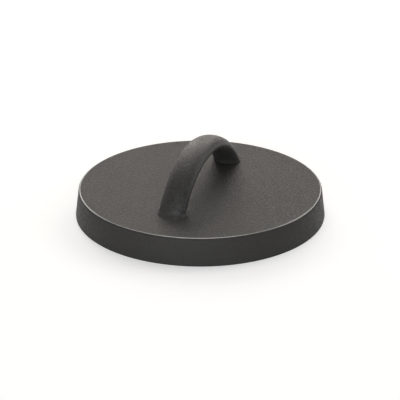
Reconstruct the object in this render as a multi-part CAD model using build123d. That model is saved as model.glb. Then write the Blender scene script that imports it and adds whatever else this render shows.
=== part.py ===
from build123d import *
from math import asin, ceil, cos, degrees, radians, sqrt, tan
import os

# Round cast-iron burger press with an arched iron handle, in millimetres.
# The origin is the centre of the pressing face, +Z points up and the arch spans X.

# Pressing plate
sole_diameter = 140.0
plate_thickness = 15.7
wall_draft = 7.0
rim_radius = 1.2
sole_chamfer = 0.5

# Arched handle: its centreline is one circular arc that starts and ends in the plate's top face,
# and its oval section is drawn every few degrees round that arc
arch_half_span = 41.0
arch_rise = 23.2
grip_thickness = 9.0
grip_width_crown = 15.7
grip_width_foot = 15.0
section_spacing = 4.0
foot_lip_height = 1.2
foot_lip_overhang = 0.6
foot_lip_chamfer = 0.5

# Countersunk machine screws, one up into each foot
thread_diameter = 4.0
thread_engagement = 5.5
tip_chamfer = 0.5
head_diameter = 8.0
head_rim = 0.35
countersink_angle = 90.0
socket_across_flats = 2.5
socket_depth = 1.4
head_recess = 1.2
drill_run_out = 1.0
drill_point_angle = 118.0

# Fits
head_clearance = 0.15
shank_clearance = 0.25
thread_clearance = 0.05

# The arch's circle, with heights counted from the plate's top face
arch_radius = (arch_half_span**2 + arch_rise**2) / (2 * arch_rise)
arch_centre_height = arch_rise - arch_radius
arch_centre = Vector(0, 0, plate_thickness + arch_centre_height)
foot_lean = degrees(asin(-arch_centre_height / arch_radius))
foot_station = 90 - foot_lean


def reach(radius, height):
    """Half span of a circle about the arch's centre, at a height above the plate's top face."""
    return sqrt(radius**2 - (height - arch_centre_height) ** 2)


# Each screw stands midway between the leg's inner skin at the foot and its outer skin over the hole
hole_depth = thread_engagement + drill_run_out
inner_skin = reach(arch_radius - grip_thickness / 2, 0)
outer_skin = reach(arch_radius + grip_thickness / 2, hole_depth)
screw_offset = (inner_skin + outer_skin) / 2
screw_length = plate_thickness - head_recess + thread_engagement


def half_section(points):
    """Face in the XZ plane from its corners, each a radius and a height."""
    return make_face(Polyline([(r, 0, z) for r, z in points], close=True))


def turned(points):
    """Solid of revolution about Z from the corners of its half section, two of them on the axis."""
    return revolve(half_section(points), Axis.Z)


def cone_height(radius, angle):
    """Height of a cone of a given radius, from its full opening angle."""
    return radius / tan(radians(angle / 2))


def screw_places():
    """The two screw axes, left and right, at the height of the pressing face."""
    return {"left": Pos(-screw_offset, 0, 0), "right": Pos(screw_offset, 0, 0)}


def screw_passage():
    """What one screw takes out of the plate: head recess, countersink and clearance hole."""
    recess_r = head_diameter / 2 + head_clearance
    hole_r = thread_diameter / 2 + shank_clearance
    cone_base = head_recess + head_rim
    cone_end = cone_base + cone_height(recess_r - hole_r, countersink_angle)
    return turned([
        (0, 0),
        (recess_r, 0),
        (recess_r, cone_base),
        (hole_r, cone_end),
        (hole_r, plate_thickness),
        (0, plate_thickness),
    ])


def press_plate():
    """Disc with a ground sole, a drafted wall, a rounded rim and two countersunk screw holes."""
    sole_r = sole_diameter / 2
    top_r = sole_r - plate_thickness * tan(radians(wall_draft))
    outline = half_section([(0, 0), (sole_r, 0), (top_r, plate_thickness), (0, plate_thickness)])
    outline = chamfer(outline.vertices().group_by(Axis.Z)[0].sort_by(Axis.X)[-1], sole_chamfer)
    outline = fillet(outline.vertices().group_by(Axis.Z)[-1].sort_by(Axis.X)[-1], rim_radius)
    disc = revolve(outline, Axis.Z)
    for place in screw_places().values():
        disc -= place * screw_passage()
    return disc


def grip_section(angle):
    """Oval section square to the arch, at an angle from the crown, wider where the fingers hold."""
    outward = Vector(0, 0, 1).rotate(Axis.Y, angle)
    along = Vector(1, 0, 0).rotate(Axis.Y, angle)
    taper = min(abs(angle) / foot_station, 1) ** 2
    width = grip_width_crown + (grip_width_foot - grip_width_crown) * taper
    plane = Plane(origin=arch_centre + outward * arch_radius, x_dir=(0, 1, 0), z_dir=along)
    return plane * Ellipse(width / 2, grip_thickness / 2)


def arch():
    """Ovals lofted close together round the arch, the legs running on below the face for a flat cut."""
    end = foot_station + degrees(grip_thickness / arch_radius)
    steps = ceil(end / section_spacing)
    stations = [end * step / steps for step in range(-steps, steps + 1)]
    return loft([grip_section(angle) for angle in stations], ruled=True)


def foot_lip():
    """Low lip round the right foot, leaning with the leg, its upper edge broken by a chamfer."""
    half_length = grip_thickness / 2 / cos(radians(foot_lean)) + foot_lip_overhang
    half_width = grip_width_foot / 2 + foot_lip_overhang
    outline = Pos(arch_half_span, 0, plate_thickness) * Ellipse(half_length, half_width)
    up_the_leg = Vector(0, 0, 1).rotate(Axis.Y, -foot_lean)
    lip = extrude(outline, foot_lip_height / cos(radians(foot_lean)), dir=up_the_leg)
    return chamfer(lip.edges().group_by(Axis.Z)[-1], foot_lip_chamfer)


def tapped_hole():
    """Blind hole for one screw's thread, up from the face, with the drill's cone at its end."""
    hole_r = thread_diameter / 2 + thread_clearance
    hole_top = plate_thickness + hole_depth
    return turned([
        (0, plate_thickness),
        (hole_r, plate_thickness),
        (hole_r, hole_top),
        (0, hole_top + cone_height(hole_r, drill_point_angle)),
    ])


def handle():
    """Arched grip with a lipped foot at each end, cut flat to stand on the plate."""
    lip = foot_lip()
    grip = arch() + lip + mirror(lip, Plane.YZ)
    grip = split(grip, Plane.XY.offset(plate_thickness), keep=Keep.TOP)
    for place in screw_places().values():
        grip -= place * tapped_hole()
    return grip


def handle_screw():
    """Countersunk screw with a hex socket, head down, its head sunk behind the pressing face."""
    head_r = head_diameter / 2
    shank_r = thread_diameter / 2
    cone_base = head_recess + head_rim
    tip = head_recess + screw_length
    screw = turned([
        (0, head_recess),
        (head_r, head_recess),
        (head_r, cone_base),
        (shank_r, cone_base + cone_height(head_r - shank_r, countersink_angle)),
        (shank_r, tip - tip_chamfer),
        (shank_r - tip_chamfer, tip),
        (0, tip),
    ])
    flats_r = socket_across_flats / 2
    hexagon = RegularPolygon(flats_r, side_count=6, major_radius=False)
    socket = extrude(Pos(0, 0, head_recess) * hexagon, socket_depth)
    socket_end = head_recess + socket_depth
    socket += turned([
        (0, socket_end),
        (flats_r, socket_end),
        (0, socket_end + cone_height(flats_r, drill_point_angle)),
    ])
    return screw - socket


parts = {"press_plate": press_plate(), "handle": handle()}
for side, place in screw_places().items():
    parts[f"handle_screw_{side}"] = place * handle_screw()

os.makedirs("parts", exist_ok=True)
for name, solid in parts.items():
    export_step(solid, f"parts/{name}.step")
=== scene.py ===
import math

import bmesh
import bpy
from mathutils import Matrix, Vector


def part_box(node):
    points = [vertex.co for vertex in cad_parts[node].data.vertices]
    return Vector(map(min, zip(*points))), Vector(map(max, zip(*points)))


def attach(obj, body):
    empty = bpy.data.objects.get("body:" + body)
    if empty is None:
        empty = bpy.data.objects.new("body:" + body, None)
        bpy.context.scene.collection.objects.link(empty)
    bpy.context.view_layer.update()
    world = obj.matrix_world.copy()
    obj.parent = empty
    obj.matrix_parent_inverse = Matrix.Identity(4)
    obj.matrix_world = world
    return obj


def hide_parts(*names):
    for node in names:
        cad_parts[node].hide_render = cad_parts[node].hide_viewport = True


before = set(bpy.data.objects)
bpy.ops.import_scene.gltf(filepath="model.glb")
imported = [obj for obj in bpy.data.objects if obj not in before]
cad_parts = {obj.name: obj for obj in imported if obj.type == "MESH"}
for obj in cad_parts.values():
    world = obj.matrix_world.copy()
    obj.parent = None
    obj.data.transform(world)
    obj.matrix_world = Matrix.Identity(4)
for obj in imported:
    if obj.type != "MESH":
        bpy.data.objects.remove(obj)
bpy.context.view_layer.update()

# Round cast-iron burger press: a plate, an arched grip and the two screws that join them.
# Lengths are in metres, written as millimetres times MM.
MM = 0.001

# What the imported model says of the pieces. Both screws stand at the same heights.
face_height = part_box("press_plate")[1].z
grip_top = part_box("handle")[1].z
screw_boxes = {side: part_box(f"handle_screw_{side}") for side in ("left", "right")}
screw_low, screw_high = (corner.z for corner in screw_boxes["left"])

# Plate, with a ring of faces inside the edge of each flat face that keeps its shading level
sole_radius = 70 * MM
wall_draft = math.radians(7)
top_radius = sole_radius - face_height * math.tan(wall_draft)
rim_radius = 1.2 * MM
sole_edge = 0.5 * MM
shading_margin = 1.5 * MM
plate_sides = 320
plate_crease = math.radians(30)

# Grip: an oval bent round a circular arc
arch_half_span = 41.0 * MM
grip_thickness = 9.0 * MM
grip_width_foot = 15.0 * MM
grip_width_crown = 15.7 * MM
arch_rise = grip_top - face_height - grip_thickness / 2
arch_radius = (arch_half_span**2 + arch_rise**2) / (2 * arch_rise)
arch_centre = Vector((0, 0, face_height + arch_rise - arch_radius))
foot_lean = math.asin((face_height - arch_centre.z) / arch_radius)
foot_station = math.pi / 2 - foot_lean
grip_sides = 96
grip_rings = 120
grip_crease = math.radians(40)

# Lip round each foot, rooted below the face, and the finish of the casting's skin
lip_height = 1.2 * MM
lip_overhang = 0.6 * MM
lip_edge = 0.55 * MM
lip_root = 1.0 * MM
joint_edge = 0.12 * MM
skin_voxel = 0.3 * MM
skin_smoothings = 20
skin_unevenness = 0.02 * MM
skin_dimple = 7 * MM
skin_fade = 4 * MM

# Countersunk socket screws, M4, with the depth and flats of the metric thread
thread_radius = 2.0 * MM
thread_pitch = 0.7 * MM
thread_depth = 0.6134 * thread_pitch
thread_crest = thread_pitch / 8
thread_root = thread_pitch / 4
head_radius = 4.0 * MM
head_rim = 0.35 * MM
socket_flats = 2.5 * MM
socket_depth = 1.4 * MM
tip_chamfer = 0.5 * MM
turned_sides = 48
screw_crease = math.radians(30)

# Holes for the screws, the drill's cone given as shares of the bore's radius
head_gap = 0.15 * MM
shank_gap = 0.25 * MM
thread_gap = 0.05 * MM
bore_run_out = 1.0 * MM
drill_cone_height = 0.6
drill_tip_radius = 0.05

# Mesh work: how close counts as the same height, how far a cutting tool runs past a face, what counts as
# one point, and the upward share of the normal of a level face and of a steep one
same_height = 0.01 * MM
tool_margin = 1.0 * MM
same_point = 0.001 * MM
cut_tolerance = 0.0001 * MM
level_normal = 0.999
steep_normal = 0.95

# Seasoned iron. The sand's real grain is a quarter of a millimetre, drawn coarser so that it shows. The
# oil coat changes in patches and in wider clouds.
sand_grain_mm = 1.3
sand_contrast = 0.13
sand_share = 0.85
oil_patch_mm = 5
oil_cloud_mm = 24
oil_relief_mm = 0.015
oil_ior = 1.45
iron_dark = "#333231"
iron_pale = "#373635"
roughness_change = 0.12

# Ring on the round of the plate's rim, bare metal within its core and fading to nothing at its reach. Its
# paler colour is partly iron rubbed bright by use and partly a painted highlight line along the rim.
wear_and_highlight_radius = top_radius - 0.55 * MM
wear_and_highlight_height = face_height - 0.11 * MM
wear_and_highlight_reach = 0.55 * MM
wear_and_highlight_core = wear_and_highlight_reach / 3
# Paler colour of the rim's ring: partly worn bare iron, partly a painted highlight line
wear_and_highlight_colour = "#808181"
worn_roughness = 0.3
worn_relief = 0.15

# Steel of the screws. Its tool marks are a tenth of a millimetre, drawn coarser so that they show.
tool_mark_mm = 0.3
steel_colour = "#b4b3b0"

# Ranges that hold most of a noise's values, and nearly all of them
noise_low, noise_high = 0.35, 0.65
noise_least, noise_most = 0.3, 0.7

# Camera: the distance, height and bearing that the photograph was taken from
camera_reach = 1018 * MM
camera_height = 467 * MM
camera_bearing = math.radians(22)
camera_aim_height = 7.45 * MM
camera_lens_mm = 178.9
camera_sensor_mm = 36
camera_shift = -0.0007

# Studio: square softboxes round the object, each with its bearing from straight behind and its
# height, both in degrees, its power in watts and its tint
softbox_distance = 2.0
softbox_size = 0.9
warm_light = (1.0, 0.95, 0.885)
plain_light = (0.975, 0.99, 1.0)
softboxes = {
    "behind_far_left": (-45, 25, 3.5, warm_light),
    "behind_left_low": (-15, 25, 10.3, warm_light),
    "behind_left_high": (-15, 45, 4.6, warm_light),
    "behind_right_low": (15, 25, 9.9, warm_light),
    "behind_right_high": (45, 45, 4.8, warm_light),
    "overhead": (0, 68, 9.5, warm_light),
    "right_side": (75, 25, 8.2, plain_light),
    "left_side": (-100, 15, 2.4, plain_light),
    "front_left": (-150, 14, 7, plain_light),
    "front": (180, 12, 19, plain_light),
}
white = (1, 1, 1, 1)
room_fill = 0.03
floor_size = 8
floor_gap = 0.05 * MM
floor_colour = "#d2d2d2"
floor_glow = 0.5


def start(name, add_primitive, **settings):
    """Adds a primitive on its own, puts its place into its mesh and opens it with all of it selected."""
    bpy.ops.object.select_all(action="DESELECT")
    add_primitive(**settings)
    piece = bpy.context.object
    piece.name = name
    piece.data.name = name
    bpy.ops.object.transform_apply(location=True, rotation=True, scale=True)
    bpy.ops.object.mode_set(mode="EDIT")
    bpy.ops.mesh.select_mode(type="VERT")
    bpy.ops.mesh.select_all(action="SELECT")
    return piece


def end(piece):
    """Turns the normals of the open mesh outwards and closes it."""
    bpy.ops.mesh.select_all(action="SELECT")
    bpy.ops.mesh.normals_make_consistent(inside=False)
    bpy.ops.object.mode_set(mode="OBJECT")
    return piece


def pick(piece, kind, test):
    """Selects, in the open mesh, the vertices, edges or faces that pass a test."""
    bpy.ops.mesh.select_all(action="DESELECT")
    bpy.ops.mesh.select_mode(type=kind)
    mesh = bmesh.from_edit_mesh(piece.data)
    for part in {"VERT": mesh.verts, "EDGE": mesh.edges, "FACE": mesh.faces}[kind]:
        part.select_set(test(part))
    mesh.select_flush_mode()
    bmesh.update_edit_mesh(piece.data)


def extrude(*move):
    """Extrudes what is selected, by a move along X, Y and Z."""
    bpy.ops.mesh.extrude_region_move(TRANSFORM_OT_translate={"value": move, "orient_type": "GLOBAL"})


def trim(height, keep):
    """Cuts the open mesh level at a height, keeps what is above (1) or below (-1), and closes the cut."""
    bpy.ops.mesh.select_all(action="SELECT")
    bpy.ops.mesh.bisect(
        plane_co=(0, 0, height),
        plane_no=(0, 0, keep),
        clear_inner=True,
        use_fill=True,
        threshold=cut_tolerance,
    )


def only(piece):
    """Makes one object the only selected one, and the active one."""
    bpy.ops.object.select_all(action="DESELECT")
    piece.select_set(True)
    bpy.context.view_layer.objects.active = piece


def apply_modifier(piece, kind, **settings):
    """Adds a modifier with its settings and applies it."""
    only(piece)
    modifier = piece.modifiers.new(kind.title(), kind)
    for name, value in settings.items():
        setattr(modifier, name, value)
    bpy.ops.object.modifier_apply(modifier=modifier.name)


def combine(piece, tool, operation):
    """Joins, cuts or trims a piece with a closed tool, which is then thrown away."""
    apply_modifier(piece, "BOOLEAN", operation=operation, object=tool, solver="EXACT")
    bpy.data.objects.remove(tool)


def smooth(piece, crease):
    """Shades a piece smooth, apart from edges sharper than an angle."""
    only(piece)
    bpy.ops.object.shade_smooth_by_angle(angle=crease)


def turned(name, rings, place=(0, 0)):
    """Turned piece: a disc extruded and scaled ring by ring. A ring is (radius, height)."""
    radius, height = rings[0]
    piece = start(
        name,
        bpy.ops.mesh.primitive_circle_add,
        vertices=turned_sides,
        radius=radius,
        fill_type="NGON",
        location=(*place, height),
    )
    for next_radius, next_height in rings[1:]:
        extrude(0, 0, next_height - height)
        scale = next_radius / radius
        bpy.ops.transform.resize(value=(scale, scale, 1))
        radius, height = next_radius, next_height
    return end(piece)


def middle(edge):
    """Middle of an edge."""
    return (edge.verts[0].co + edge.verts[1].co) / 2


def is_corner(edge):
    """Whether an edge lies between a level face and a steep one."""
    tilts = sorted(abs(face.normal.z) for face in edge.link_faces)
    return len(tilts) == 2 and tilts[0] < steep_normal and tilts[1] > level_normal


def corner_offset(radius, inside_angle):
    """How far from a corner a round of a given radius starts, on each of the two faces."""
    return radius / math.tan(inside_angle / 2)


def screw_place(side):
    """Where a screw's axis stands."""
    low, high = screw_boxes[side]
    return ((low.x + high.x) / 2, (low.y + high.y) / 2)


def screw_passage(side):
    """What one screw takes out of the plate: head recess, countersink and clearance hole."""
    recess = head_radius + head_gap
    hole = thread_radius + shank_gap
    cone_low = screw_low + head_rim
    cone_high = cone_low + recess - hole
    rings = [
        (recess, -tool_margin),
        (recess, cone_low),
        (hole, cone_high),
        (hole, face_height + tool_margin),
    ]
    return turned(f"passage_{side}", rings, screw_place(side))


def press_plate_casting():
    """Disc with a drafted wall, a rounded rim, a broken lower edge and two screw passages."""
    plate = start(
        "press_plate_casting",
        bpy.ops.mesh.primitive_cylinder_add,
        vertices=plate_sides,
        radius=sole_radius,
        depth=face_height,
        location=(0, 0, face_height / 2),
    )
    pick(plate, "FACE", lambda face: face.normal.z > level_normal)
    top_share = top_radius / sole_radius
    bpy.ops.transform.resize(value=(top_share, top_share, 1))
    pick(plate, "EDGE", lambda edge: middle(edge).z > face_height - same_height)
    rim_offset = corner_offset(rim_radius, math.pi / 2 + wall_draft)
    bpy.ops.mesh.bevel(offset=rim_offset, segments=8, affect="EDGES")
    pick(plate, "EDGE", lambda edge: middle(edge).z < same_height)
    bpy.ops.mesh.bevel(offset=sole_edge, segments=3, affect="EDGES")
    pick(plate, "FACE", lambda face: abs(face.normal.z) > level_normal)
    bpy.ops.mesh.inset(thickness=shading_margin)
    end(plate)
    for side in screw_boxes:
        combine(plate, screw_passage(side), "DIFFERENCE")
    smooth(plate, plate_crease)
    return plate


def station_of(point):
    """Angle of a point from the crown, round the arch's centre."""
    return math.atan2(point.x, point.z - arch_centre.z)


def bent_grip():
    """An oval ring spun round the arch's centre and narrowed towards the feet, closed at both ends."""
    reach = foot_station + grip_thickness / arch_radius
    grip = start(
        "grip_casting",
        bpy.ops.mesh.primitive_circle_add,
        vertices=grip_sides,
        radius=grip_thickness / 2,
        location=arch_centre + arch_radius * Vector((-math.sin(reach), 0, math.cos(reach))),
        rotation=(0, math.pi / 2 - reach, 0),
    )
    bpy.ops.transform.resize(value=(1, grip_width_crown / grip_thickness, 1))
    bpy.ops.mesh.edge_face_add()
    bpy.ops.mesh.spin(steps=grip_rings, angle=-2 * reach, center=arch_centre, axis=(0, 1, 0))
    step = 2 * reach / grip_rings
    for ring in range(grip_rings + 1):
        station = -reach + ring * step
        taper = min(abs(station) / foot_station, 1) ** 2
        width = grip_width_crown + (grip_width_foot - grip_width_crown) * taper
        pick(grip, "VERT", lambda vert: abs(station_of(vert.co) - station) < step / 4)
        bpy.ops.transform.resize(value=(1, width / grip_width_crown, 1))
    return end(grip)


def foot_lip(side, sign):
    """Low oval lip round a foot, leaning with the leg: its top edge is rounded, its root below the face."""
    lean = sign * math.tan(foot_lean)
    half_length = grip_thickness / 2 / math.cos(foot_lean) + lip_overhang
    half_width = grip_width_foot / 2 + lip_overhang
    lip = start(
        f"foot_lip_{side}",
        bpy.ops.mesh.primitive_circle_add,
        vertices=grip_sides,
        radius=half_length,
        fill_type="NGON",
        location=(sign * arch_half_span + lip_root * lean, 0, face_height - lip_root),
    )
    bpy.ops.transform.resize(value=(1, half_width / half_length, 1))
    length = lip_root + lip_height
    extrude(-length * lean, 0, length)
    pick(lip, "EDGE", lambda edge: middle(edge).z > face_height + lip_height - same_height)
    bpy.ops.mesh.bevel(offset=lip_edge, segments=4, affect="EDGES")
    return end(lip)


def uneven_skin(piece):
    """Sinks the skin of a casting unevenly, as its mould left it, from the lip upwards."""
    group = piece.vertex_groups.new(name="skin")
    for vertex in piece.data.vertices:
        weight = (vertex.co.z - face_height - lip_height) / skin_fade
        group.add([vertex.index], min(max(weight, 0), 1), "REPLACE")
    dimples = bpy.data.textures.new("mould_unevenness", "CLOUDS")
    dimples.noise_scale = skin_dimple
    dimples.noise_depth = 2
    apply_modifier(
        piece,
        "DISPLACE",
        texture=dimples,
        texture_coords="LOCAL",
        strength=skin_unevenness,
        mid_level=1.0,
        vertex_group=group.name,
    )
    piece.vertex_groups.remove(piece.vertex_groups["skin"])


def tapped_seat(side):
    """What one screw takes out of the grip: a blind bore that ends in the drill's cone."""
    bore = thread_radius + thread_gap
    bore_top = screw_high + bore_run_out
    rings = [
        (bore, face_height - tool_margin),
        (bore, bore_top),
        (bore * drill_tip_radius, bore_top + bore * drill_cone_height),
    ]
    return turned(f"tapped_seat_{side}", rings, screw_place(side))


def grip_casting():
    """The arched grip, cut flat at the plate, with its lips, its cast skin and its two tapped seats."""
    grip = bent_grip()
    for side, sign in (("left", -1), ("right", 1)):
        combine(grip, foot_lip(side, sign), "UNION")
    # Voxels and smoothing let the lips run softly into the legs, as in a sand mould
    apply_modifier(grip, "REMESH", mode="VOXEL", voxel_size=skin_voxel)
    apply_modifier(grip, "SMOOTH", factor=0.5, iterations=skin_smoothings)
    uneven_skin(grip)
    only(grip)
    bpy.ops.object.mode_set(mode="EDIT")
    trim(face_height, 1)
    pick(grip, "EDGE", lambda edge: middle(edge).z < face_height + same_height and is_corner(edge))
    bpy.ops.mesh.bevel(offset=joint_edge, segments=2, affect="EDGES")
    end(grip)
    for side in screw_boxes:
        combine(grip, tapped_seat(side), "DIFFERENCE")
    smooth(grip, grip_crease)
    return grip


def thread(name, low, high):
    """Closed M4 thread between two heights: one pitch of its outline, carried up the helix."""
    flank = (thread_pitch - thread_crest - thread_root) / 2
    outline = ((0, thread_root), (thread_depth, flank), (0, thread_crest), (-thread_depth, flank))
    # The helix starts two turns below the part that is kept, and ends more than one above it
    turns = math.ceil((high - low) / thread_pitch) + 3
    helix = start(
        name,
        bpy.ops.mesh.primitive_plane_add,
        size=thread_pitch,
        location=(thread_radius - thread_depth, 0, low - 2 * thread_pitch),
    )
    bpy.ops.mesh.merge(type="CENTER")
    for outward, rise in outline:
        extrude(outward, 0, rise)
    bpy.ops.object.mode_set(mode="OBJECT")
    apply_modifier(
        helix,
        "SCREW",
        angle=2 * math.pi,
        screw_offset=thread_pitch,
        iterations=turns,
        steps=turned_sides,
        render_steps=turned_sides,
    )
    bpy.ops.object.mode_set(mode="EDIT")
    bpy.ops.mesh.select_all(action="SELECT")
    bpy.ops.mesh.remove_doubles(threshold=same_point)
    trim(low, 1)
    trim(high, -1)
    return end(helix)


def threaded_shaft(side, low):
    """Thread from a height up to the screw's tip, whose edge a sleeve with a 45 degree cone breaks."""
    shaft = thread(f"thread_{side}", low, screw_high)
    sleeve_radius = 2 * thread_radius
    tip_radius = thread_radius - tip_chamfer
    sleeve = [
        (sleeve_radius, low - thread_pitch / 2),
        (sleeve_radius, screw_high - sleeve_radius + tip_radius),
        (tip_radius, screw_high),
    ]
    combine(shaft, turned(f"tip_{side}", sleeve), "INTERSECT")
    return shaft


def machine_screw(side):
    """Countersunk socket screw with its thread, from its sunk head up into the grip's foot."""
    cone_low = screw_low + head_rim
    cone_high = cone_low + head_radius - thread_radius
    head = [(head_radius, screw_low), (head_radius, cone_low), (thread_radius, cone_high)]
    screw = turned(f"socket_screw_{side}", head)
    combine(screw, threaded_shaft(side, cone_high - thread_pitch / 2), "UNION")
    socket = start(
        f"socket_{side}",
        bpy.ops.mesh.primitive_cylinder_add,
        vertices=6,
        radius=socket_flats / math.sqrt(3),
        depth=2 * socket_depth,
        location=(0, 0, screw_low),
    )
    combine(screw, end(socket), "DIFFERENCE")
    only(screw)
    screw.location = (*screw_place(side), 0)
    bpy.ops.object.transform_apply(location=True, rotation=True, scale=True)
    smooth(screw, screw_crease)
    return screw


def linear(hex_colour):
    """sRGB hex to a linear colour with alpha."""
    values = [int(hex_colour[i : i + 2], 16) / 255 for i in (1, 3, 5)]
    return tuple(v / 12.92 if v <= 0.04045 else ((v + 0.055) / 1.055) ** 2.4 for v in values) + (1.0,)


def per_metre(size_mm):
    """Scale of a noise whose grain is this many millimetres across."""
    return 1000 / size_mm


def add(tree, kind, values=None, links=None, **settings):
    """Adds a shader node: its sockets' values, links from other nodes' outputs, and its own settings."""
    made = tree.nodes.new(kind)
    for name, value in settings.items():
        setattr(made, name, value)
    for socket, value in (values or {}).items():
        made.inputs[socket].default_value = value
    for socket, source in (links or {}).items():
        tree.links.new(source, made.inputs[socket])
    return made


def new_material(name):
    """An empty node material and its output node."""
    material = bpy.data.materials.new(name)
    material.use_nodes = True
    material.node_tree.nodes.clear()
    return material, material.node_tree, add(material.node_tree, "ShaderNodeOutputMaterial")


def wear_and_highlight_ring(tree, place):
    """1 on the rim's ring of wear and painted highlight, fading to 0 at its reach."""
    parts = add(tree, "ShaderNodeSeparateXYZ", links={0: place}).outputs
    flat = add(tree, "ShaderNodeCombineXYZ", links={"X": parts["X"], "Y": parts["Y"]}).outputs["Vector"]
    out = add(tree, "ShaderNodeVectorMath", links={0: flat}, operation="LENGTH").outputs["Value"]
    spot = add(tree, "ShaderNodeCombineXYZ", links={"X": out, "Y": parts["Z"]}).outputs["Vector"]
    gap = add(
        tree,
        "ShaderNodeVectorMath",
        {1: (wear_and_highlight_radius, wear_and_highlight_height, 0)},
        {0: spot},
        operation="DISTANCE",
    ).outputs["Value"]
    return add(
        tree,
        "ShaderNodeMapRange",
        {"From Min": wear_and_highlight_reach, "From Max": wear_and_highlight_core, "To Min": 0.0, "To Max": 1.0},
        {"Value": gap},
        interpolation_type="SMOOTHSTEP",
    ).outputs["Result"]


def paint_rim_wear_and_highlight(tree, place, grain, shader):
    """Bares the metal on the rim's ring: paler, partly wear and partly a painted highlight line, smoother,
    and with the sand's relief rubbed down.
    """
    rim_wear_and_highlight = wear_and_highlight_ring(tree, place)
    # The ring's paler colour is partly wear and partly a painted highlight line
    for socket, value, kind in (
        ("Base Color", linear(wear_and_highlight_colour), "RGBA"),
        ("Roughness", worn_roughness, "FLOAT"),
    ):
        skin = shader.inputs[socket].links[0].from_socket
        mix = add(tree, "ShaderNodeMix", {"B": value}, {"Factor": rim_wear_and_highlight, "A": skin}, data_type=kind)
        tree.links.new(mix.outputs["Result"], shader.inputs[socket])
    relief = add(tree, "ShaderNodeMapRange", {"To Min": 1.0, "To Max": worn_relief}, {"Value": rim_wear_and_highlight})
    tree.links.new(relief.outputs["Result"], grain.inputs["Strength"])
    tree.links.new(rim_wear_and_highlight, shader.inputs["Metallic"])


def iron_colour(tree, place, sand, patches):
    """Near-black warm grey that drifts with the oil coat and is flecked by the sand."""
    clouds = add(
        tree,
        "ShaderNodeTexNoise",
        {"Scale": per_metre(oil_cloud_mm), "Detail": 2.0},
        {"Vector": place},
    ).outputs["Fac"]
    tone = add(tree, "ShaderNodeMix", {"Factor": 0.5}, {"A": patches, "B": clouds}).outputs["Result"]
    iron = add(tree, "ShaderNodeValToRGB", links={"Fac": tone})
    stops = ((noise_low, iron_dark), (noise_high, iron_pale))
    for stop, (position, hex_colour) in zip(iron.color_ramp.elements, stops):
        stop.position = position
        stop.color = linear(hex_colour)
    speck = add(
        tree,
        "ShaderNodeMapRange",
        {
            "From Min": noise_least,
            "From Max": noise_most,
            "To Min": 1 - sand_contrast,
            "To Max": 1 + sand_contrast,
        },
        {"Value": sand},
    ).outputs["Result"]
    return add(
        tree,
        "ShaderNodeVectorMath",
        links={0: iron.outputs["Color"], "Scale": speck},
        operation="SCALE",
    ).outputs["Vector"]


def sand_cast_iron(name, relief_mm, roughness, specular, wear_and_highlight_rim):
    """Seasoned sand-cast iron: near-black warm grey, a fine sandy skin and a dull sheen at low angles.
    With a worn rim, a thin line of bare, paler metal shows round the plate's upper edge, partly wear and
    partly a painted highlight line."""
    material, tree, output = new_material(name)
    place = add(tree, "ShaderNodeTexCoord").outputs["Object"]
    sand = add(
        tree,
        "ShaderNodeTexNoise",
        {"Scale": per_metre(sand_grain_mm), "Detail": 2.0, "Roughness": 0.6},
        {"Vector": place},
    ).outputs["Fac"]
    patches = add(
        tree,
        "ShaderNodeTexNoise",
        {"Scale": per_metre(oil_patch_mm), "Detail": 3.0, "Roughness": 0.6},
        {"Vector": place},
    ).outputs["Fac"]
    # Oil fills the sand's hollows, so that the roughness changes mostly from grain to grain
    pits = add(tree, "ShaderNodeMix", {"Factor": sand_share}, {"A": patches, "B": sand}).outputs["Result"]
    rough = add(
        tree,
        "ShaderNodeMapRange",
        {
            "From Min": noise_low,
            "From Max": noise_high,
            "To Min": roughness - roughness_change,
            "To Max": roughness + roughness_change,
        },
        {"Value": pits},
    ).outputs["Result"]
    coat = add(
        tree,
        "ShaderNodeBump",
        {"Strength": 1.0, "Distance": oil_relief_mm * MM},
        {"Height": patches},
    )
    grain = add(
        tree,
        "ShaderNodeBump",
        {"Strength": 1.0, "Distance": relief_mm * MM},
        {"Height": sand, "Normal": coat.outputs["Normal"]},
    )
    shader = add(
        tree,
        "ShaderNodeBsdfPrincipled",
        {"IOR": oil_ior, "Specular IOR Level": specular},
        {
            "Base Color": iron_colour(tree, place, sand, patches),
            "Roughness": rough,
            "Normal": grain.outputs["Normal"],
        },
    )
    if wear_and_highlight_rim:
        paint_rim_wear_and_highlight(tree, place, grain, shader)
    tree.links.new(shader.outputs["BSDF"], output.inputs["Surface"])
    return material


def stainless_steel_turned():
    """Plain stainless steel, turned: a light grey metal with the fine marks of the tool in its gloss."""
    material, tree, output = new_material("stainless_steel_turned")
    place = add(tree, "ShaderNodeTexCoord").outputs["Object"]
    marks = add(
        tree,
        "ShaderNodeTexNoise",
        {"Scale": per_metre(tool_mark_mm), "Detail": 2.0},
        {"Vector": place},
    ).outputs["Fac"]
    rough = add(
        tree,
        "ShaderNodeMapRange",
        {"To Min": 0.28, "To Max": 0.42},
        {"Value": marks},
    ).outputs["Result"]
    shader = add(
        tree,
        "ShaderNodeBsdfPrincipled",
        {"Base Color": linear(steel_colour), "Metallic": 1.0},
        {"Roughness": rough},
    )
    tree.links.new(shader.outputs["BSDF"], output.inputs["Surface"])
    return material


def dress(piece, material, node):
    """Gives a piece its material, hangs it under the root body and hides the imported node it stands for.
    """
    piece.data.materials.clear()
    piece.data.materials.append(material)
    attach(piece, "root")
    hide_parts(node)


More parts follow.
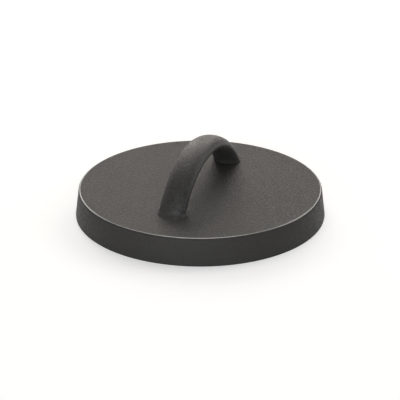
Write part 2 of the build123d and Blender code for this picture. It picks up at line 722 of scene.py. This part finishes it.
def studio_floor():
    """Plain pale floor that keeps the object's shadow and is white to the camera and in reflections."""
    bpy.ops.object.select_all(action="DESELECT")
    bpy.ops.mesh.primitive_plane_add(size=floor_size, location=(0, 0, -floor_gap))
    floor = bpy.context.object
    floor.name = "studio_floor"
    material, tree, output = new_material("matt_white_paper")
    matt = add(tree, "ShaderNodeBsdfDiffuse", {"Color": linear(floor_colour)}).outputs["BSDF"]
    glow = add(tree, "ShaderNodeEmission", {"Color": white, "Strength": floor_glow}).outputs["Emission"]
    bright = add(tree, "ShaderNodeAddShader", links={0: matt, 1: glow}).outputs["Shader"]
    rays = add(tree, "ShaderNodeLightPath").outputs
    seen = rays["Is Camera Ray"]
    for ray in ("Is Glossy Ray", "Is Transmission Ray"):
        either = add(tree, "ShaderNodeMath", links={0: seen, 1: rays[ray]}, operation="MAXIMUM")
        seen = either.outputs["Value"]
    shown = add(tree, "ShaderNodeMixShader", links={"Fac": seen, 1: matt, 2: bright}).outputs["Shader"]
    tree.links.new(shown, output.inputs["Surface"])
    floor.data.materials.append(material)


def studio_world():
    """Weak even light from the room round the softboxes."""
    world = bpy.data.worlds.new("studio")
    bpy.context.scene.world = world
    world.use_nodes = True
    tree = world.node_tree
    tree.nodes.clear()
    light = add(tree, "ShaderNodeBackground", {"Color": white, "Strength": room_fill})
    output = add(tree, "ShaderNodeOutputWorld")
    tree.links.new(light.outputs["Background"], output.inputs["Surface"])


def around(bearing_degrees, distance, height):
    """A place round the object. Its bearing runs clockwise from straight behind, seen from above."""
    direction = camera_bearing - math.radians(bearing_degrees)
    return (distance * math.cos(direction), distance * math.sin(direction), height)


def softbox(name, bearing_degrees, height_degrees, power, tint):
    """Square area light that faces the object."""
    height = math.radians(height_degrees)
    out = softbox_distance * math.cos(height)
    place = around(bearing_degrees, out, softbox_distance * math.sin(height))
    bpy.ops.object.light_add(type="AREA", location=place)
    lamp = bpy.context.object
    lamp.name = f"softbox_{name}"
    lamp.data.shape = "SQUARE"
    lamp.data.size = softbox_size
    lamp.data.energy = power
    lamp.data.color = tint
    lamp.rotation_euler = (-Vector(place)).to_track_quat("-Z", "Y").to_euler()


def photo_camera():
    """Long lens at the photograph's place, looking at the middle of the plate, near half its height."""
    place = Vector(around(180, camera_reach, camera_height))
    aim = Vector((0, 0, camera_aim_height))
    bpy.ops.object.camera_add(location=place)
    camera = bpy.context.object
    camera.name = "photo_camera"
    camera.rotation_euler = (aim - place).to_track_quat("-Z", "Y").to_euler()
    camera.data.sensor_width = camera_sensor_mm
    camera.data.lens = camera_lens_mm
    camera.data.shift_x = camera_shift
    bpy.context.scene.camera = camera


# The plate's rim carries a paler ring of bare metal, partly wear and partly a painted highlight line
plate_iron = sand_cast_iron(
    "sand_cast_iron_plate", relief_mm=0.45, roughness=0.56, specular=0.25, wear_and_highlight_rim=True
)
grip_iron = sand_cast_iron(
    "sand_cast_iron_grip", relief_mm=0.32, roughness=0.49, specular=0.53, wear_and_highlight_rim=False
)
steel = stainless_steel_turned()

dress(press_plate_casting(), plate_iron, "press_plate")
dress(grip_casting(), grip_iron, "handle")
for side in screw_boxes:
    dress(machine_screw(side), steel, f"handle_screw_{side}")

bpy.context.scene.view_settings.view_transform = "Standard"
studio_floor()
studio_world()
for name, settings in softboxes.items():
    softbox(name, *settings)
photo_camera()
